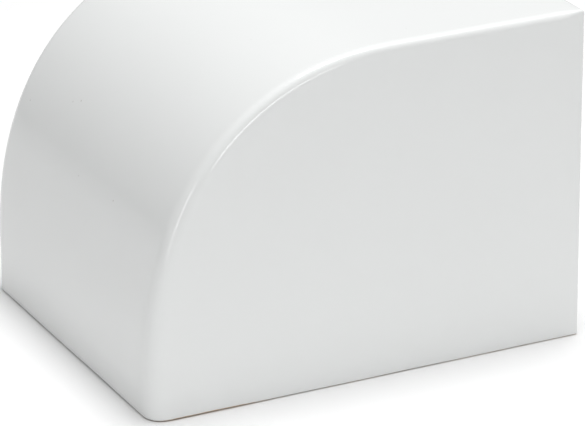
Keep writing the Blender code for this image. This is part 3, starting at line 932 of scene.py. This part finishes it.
def thread_rings(bottom, top):
    """Rings of a helical thread that fades in from a plain neck and ends in a blunt point."""
    length = top - bottom
    rows = int(length / THREAD_PITCH * THREAD_ROWS)
    rings = []
    for i in range(rows + 1):
        z = bottom + length * i / rows
        from_tip = top - z
        core = (SCREW_RADIUS - THREAD_DEPTH) * min(1.0, TIP_SHARE + from_tip / TIP_LENGTH)
        depth = THREAD_DEPTH * min(1.0, (z - bottom) / THREAD_PITCH) * min(1.0, from_tip / THREAD_PITCH)
        ring = []
        for k in range(THREAD_COLUMNS):
            angle = 2 * math.pi * k / THREAD_COLUMNS
            phase = (z / THREAD_PITCH - k / THREAD_COLUMNS) % 1.0
            crest = max(0.0, 1.0 - abs(2.0 * phase - 1.0) * THREAD_SHARPNESS)
            radius = core + depth * crest
            ring.append((radius * math.cos(angle), radius * math.sin(angle), z))
        rings.append(ring)
    return rings


def screw_mesh(low, high):
    """A countersunk wood screw standing on its head, with a cross recess underneath."""
    neck_bottom = low.z + SCREW_HEAD_HEIGHT
    neck_top = neck_bottom + SCREW_NECK
    outline = (
        (SCREW_HEAD_RADIUS - 1.5 * SCREW_HEAD_EDGE, low.z),
        (SCREW_HEAD_RADIUS, low.z + SCREW_HEAD_EDGE),
        (SCREW_HEAD_RADIUS, low.z + 2 * SCREW_HEAD_EDGE),
        (SCREW_RADIUS * SCREW_NECK_FLARE, neck_bottom),
        (SCREW_RADIUS - THREAD_DEPTH, neck_bottom + 2 * SCREW_HEAD_EDGE),
        (SCREW_RADIUS - THREAD_DEPTH, neck_top - SCREW_HEAD_EDGE / 2),
    )
    angles = [2 * math.pi * k / THREAD_COLUMNS for k in range(THREAD_COLUMNS)]
    rings = [[(r * math.cos(a), r * math.sin(a), z) for a in angles] for r, z in outline]
    rings += thread_rings(neck_top, high.z)
    bm = bmesh.new()
    rows = [[bm.verts.new(point) for point in ring] for ring in rings]
    for lower, upper in zip(rows, rows[1:]):
        for k in range(THREAD_COLUMNS):
            n = (k + 1) % THREAD_COLUMNS
            bm.faces.new((lower[k], lower[n], upper[n], upper[k]))
    bm.faces.new(rows[0][::-1])
    bm.faces.new(rows[-1])
    bmesh.ops.recalc_face_normals(bm, faces=bm.faces)
    mesh = bpy.data.meshes.new("screw")
    bm.to_mesh(mesh)
    bm.free()
    cutters = []
    half_length, half_width, depth = RECESS_ARM
    for turn in (0.0, math.pi / 2):
        arm_low = (-half_length, -half_width, low.z - OVERCUT)
        arm = box_mesh(arm_low, (half_length, half_width, low.z + depth))
        arm.transform(Matrix.Rotation(turn + RECESS_TURN, 4, "Z"))
        cutters.append(arm)
    return boolean_all(mesh, cutters)


def make_base_screws(material):
    for i, node in enumerate(SCREWS, start=1):
        low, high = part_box(node)
        mesh = screw_mesh(low, high)
        mesh.transform(onto_axis(node) @ Matrix.Rotation(SCREW_TURN * i, 4, "Z"))
        add_piece(f"wood_screw_{i}", mesh, "base", "fastener_steel", material, node)


def disc_mesh(node, edge, dish):
    """A round moulding with softened edges and a shallow dish in its lower face."""
    low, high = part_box(node)
    radius = (high.x - low.x) / 2
    profile = [(0.0, high.z)]
    for turn in quarter(5):
        profile.append((radius - edge + edge * math.sin(turn), high.z - edge + edge * math.cos(turn)))
    for turn in quarter(5):
        profile.append((radius - edge + edge * math.cos(turn), low.z + edge - edge * math.sin(turn)))
    outer_share, inner_share = DISH_SHARES
    profile += [(outer_share * radius, low.z), (inner_share * radius, low.z + dish), (0.0, low.z + dish)]
    return turned_mesh(profile, onto_axis(node), steps=56)


def make_feet_and_pads(rubber, silicone):
    for i in range(1, 5):
        foot = disc_mesh(f"foot_{i}", FOOT_EDGE, FOOT_DISH)
        add_piece(f"rubber_foot_{i}", foot, "base", "foot_rubber", rubber, f"foot_{i}")
        pad = disc_mesh(f"rest_pad_{i}", PAD_EDGE, PAD_DISH)
        add_piece(f"silicone_pad_{i}", pad, "base", "silicone", silicone, f"rest_pad_{i}")


# ---------------------------------------------------------------- crumb tray


def make_crumb_tray(material):
    """Folded steel sheet: round inner corners, a back flange and a finger cut in it."""
    low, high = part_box("crumb_tray")
    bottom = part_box("bottom_plate")[1].z + GAP
    half_x = high.x - FLANGE_SIDE
    flange_front = high.y - FLANGE_SHEET
    outline = rounded_rectangle((-half_x, low.y), (half_x, flange_front + FLANGE_OVERLAP), TRAY_CORNER)
    body = bevelled(slab_mesh(outline, bottom, bottom + TRAY_HEIGHT), TRAY_EDGE, segments=4)
    inner_low = (-half_x + TRAY_SHEET, low.y + TRAY_SHEET)
    inner_high = (half_x - TRAY_SHEET, flange_front - TRAY_SHEET)
    outline = rounded_rectangle(inner_low, inner_high, TRAY_CORNER - TRAY_SHEET)
    hollow = slab_mesh(outline, bottom + TRAY_SHEET, bottom + 2 * TRAY_HEIGHT)
    body = boolean_all(body, [bevelled(hollow, TRAY_HOLLOW_EDGE, segments=4)])
    outline = rounded_rectangle((low.x, low.z), (high.x, high.z), FLANGE_CORNER)
    flange = bevelled(slab_mesh(outline, 0.0, FLANGE_SHEET), FLANGE_EDGE)
    flange.transform(Matrix.Translation((0.0, high.y, 0.0)) @ FACE_FRONT)
    reach = 4 * FLANGE_SHEET
    profile = [(0.0, reach), (FINGER_RADIUS, reach), (FINGER_RADIUS, -reach), (0.0, -reach)]
    place = Matrix.Translation((0.0, high.y, high.z + FINGER_RISE)) @ FACE_FRONT
    flange = boolean_all(flange, [turned_mesh(profile, place, steps=64)])
    mesh = boolean_all(body, [flange], "UNION")
    add_piece("steel_crumb_tray", mesh, "tray_body", "tray_steel", material, "crumb_tray", sharp_angle=40.0)


# ---------------------------------------------------------------- wire rack


def weld_mesh(place):
    """A small uneven bead of weld, longest along X."""
    bm = bmesh.new()
    bmesh.ops.create_uvsphere(bm, u_segments=32, v_segments=20, radius=1.0)
    bmesh.ops.scale(bm, vec=WELD_SIZE, verts=bm.verts)
    for vertex in bm.verts:
        vertex.co *= 1.0 + WELD_RIPPLE * noise.noise(vertex.co * WELD_RIPPLE_SCALE)
    bmesh.ops.translate(bm, vec=place, verts=bm.verts)
    mesh = bpy.data.meshes.new("weld")
    bm.to_mesh(mesh)
    bm.free()
    return mesh


def make_rack(material):
    for i, node in enumerate(HOOPS, start=1):
        low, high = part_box(node)
        y = middle_of(node).y
        left, right, top = low.x + WIRE_RADIUS, high.x - WIRE_RADIUS, high.z - WIRE_RADIUS
        corners = [(left, y, low.z), (left, y, top), (right, y, top), (right, y, low.z)]
        mesh = wire_mesh(bent_path(corners, HOOP_BEND))
        add_piece(f"wire_hoop_{i}", mesh, "base", "wire", material, node, sharp_angle=50.0)
    for node in RAILS:
        low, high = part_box(node)
        x = middle_of(node).x
        front, back, top = low.y + WIRE_RADIUS, high.y - WIRE_RADIUS, high.z - WIRE_RADIUS
        corners = [(x, front, low.z), (x, front, top), (x, back, top), (x, back, low.z)]
        mesh = wire_mesh(bent_path(corners, RAIL_BEND))
        add_piece("wire_" + node, mesh, "base", "wire", material, node, sharp_angle=50.0)

    low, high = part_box("rack_handle")
    centre = middle_of("rack_handle")
    radius = (high.x - low.x) / 2 - WIRE_RADIUS
    ring = []
    for i in range(HANDLE_STEPS):
        angle = 2 * math.pi * i / HANDLE_STEPS
        ring.append(centre + Vector((radius * math.cos(angle), 0.0, radius * math.sin(angle))))
    mesh = wire_mesh(ring, closed=True)
    add_piece("wire_handle_ring", mesh, "base", "wire", material, "rack_handle", sharp_angle=50.0)

    weld = weld_mesh((centre.x, centre.y, low.z - GAP / 2))
    add_piece("handle_weld", weld, "base", "wire", material, sharp_angle=80.0)


# ---------------------------------------------------------------- stage


def make_stage():
    """A matt floor whose top is at Z 0, pale near the object and darkened far away by painted shade."""
    mesh = box_mesh((-FLOOR_HALF, -FLOOR_HALF, -FLOOR_SHEET), (FLOOR_HALF, FLOOR_HALF, 0.0))
    material, tree, shader = new_material("pale_floor")
    place = object_place(tree)
    reach = add_node(tree, "ShaderNodeVectorMath", {0: place}, operation="LENGTH").outputs["Value"]
    # painted shade: the floor's colour darkens with distance from the object, standing in for dimmer light
    # far away
    far = to_range(tree, reach, FLOOR_NEAR, FLOOR_FAR, 0.0, 1.0, True)
    pale = mix_colour(tree, far, FLOOR_PALE, FLOOR_PAINTED_SHADE)
    tree.links.new(pale, shader.inputs["Base Color"])
    shader.inputs["Roughness"].default_value = 0.9
    shader.inputs["Specular IOR Level"].default_value = 0.1
    mesh.materials.append(material)
    new_object("floor", mesh)


def direction(azimuth, elevation):
    """Unit vector towards an azimuth from -Y turning to +X, and an elevation, in degrees."""
    azimuth, elevation = math.radians(azimuth), math.radians(elevation)
    flat = math.cos(elevation)
    return Vector((math.sin(azimuth) * flat, -math.cos(azimuth) * flat, math.sin(elevation)))


def make_softbox(name, azimuth, elevation, distance, width, height, radiance, spread):
    """A rectangular light that faces the middle of the hood, as bright on its axis at any spread."""
    data = bpy.data.lights.new(name, "AREA")
    data.shape = "RECTANGLE"
    data.size = width
    data.size_y = height
    data.spread = spread
    gain = math.tan(spread / 2) / (math.tan(spread / 2) - spread / 2) if spread < math.pi else 1.0
    data.energy = radiance * 4.0 * width * height / gain
    light = bpy.data.objects.new(name, data)
    back = direction(azimuth, elevation)
    light.location = back * distance + Vector((0.0, 0.0, HOOD_HIGH.z / 2))
    light.rotation_euler = back.to_track_quat("Z", "Y").to_euler()
    bpy.context.scene.collection.objects.link(light)


def make_world():
    """A dim even sky with a few smooth glows."""
    world = bpy.data.worlds.new("studio")
    bpy.context.scene.world = world
    world.use_nodes = True
    tree = world.node_tree
    background = tree.nodes["Background"]
    coordinates = add_node(tree, "ShaderNodeTexCoord")
    strength = SKY_EVEN
    for azimuth, elevation, edge, glow in SKY_GLOWS:
        centre = direction(azimuth, elevation)
        towards = vector_node(tree, "DOT_PRODUCT", coordinates.outputs["Generated"], centre)
        added = to_range(tree, towards.outputs["Value"], edge, 1.0, 0.0, glow, True)
        strength = calculate(tree, "ADD", added, strength)
    tree.links.new(strength, background.inputs["Strength"])
    background.inputs["Color"].default_value = (1.0, 1.0, 1.0, 1.0)


def make_camera():
    back = direction(CAMERA_AZIMUTH, CAMERA_ELEVATION)
    right = (-back).cross(Vector((0.0, 0.0, 1.0))).normalized()
    up = right.cross(-back)
    turn = Matrix.Rotation(math.radians(CAMERA_ROLL), 3, back)
    right, up = turn @ right, turn @ up
    place = back * CAMERA_DISTANCE + right * CAMERA_RIGHT + up * CAMERA_UP
    data = bpy.data.cameras.new("camera")
    data.lens = CAMERA_LENS
    data.sensor_width = CAMERA_SENSOR
    data.clip_end = CAMERA_FAR
    camera = bpy.data.objects.new("camera", data)
    axes = Matrix((right, up, back)).transposed().to_4x4()
    camera.matrix_world = Matrix.Translation(place) @ axes
    bpy.context.scene.collection.objects.link(camera)
    bpy.context.scene.camera = camera


bpy.context.scene.view_settings.view_transform = "Standard"
make_camera()
make_world()
make_stage()
for softbox in SOFTBOXES:
    make_softbox(*softbox)

make_hood(glaze_material())
make_top_board(oak_material("oak_board", shift=(0.31, 0.0, 0.13)))
make_bottom_plate(oak_material("oak_plate", shift=(0.77, 0.4, 0.52), tone=0.94))
make_runners(oak_material("oak_runner", shift=(0.11, 0.9, 0.37), tone=0.98))
make_base_screws(steel_material("zinc_screw", UNBRUSHED))
make_feet_and_pads(
    rubber_material("black_rubber", RUBBER_SHADES, 0.55),
    rubber_material("clear_silicone", SILICONE_SHADES, 0.35),
)
make_crumb_tray(steel_material("tray_sheet", BRUSHED_ALONG_X))
make_rack(polished_wire_material())
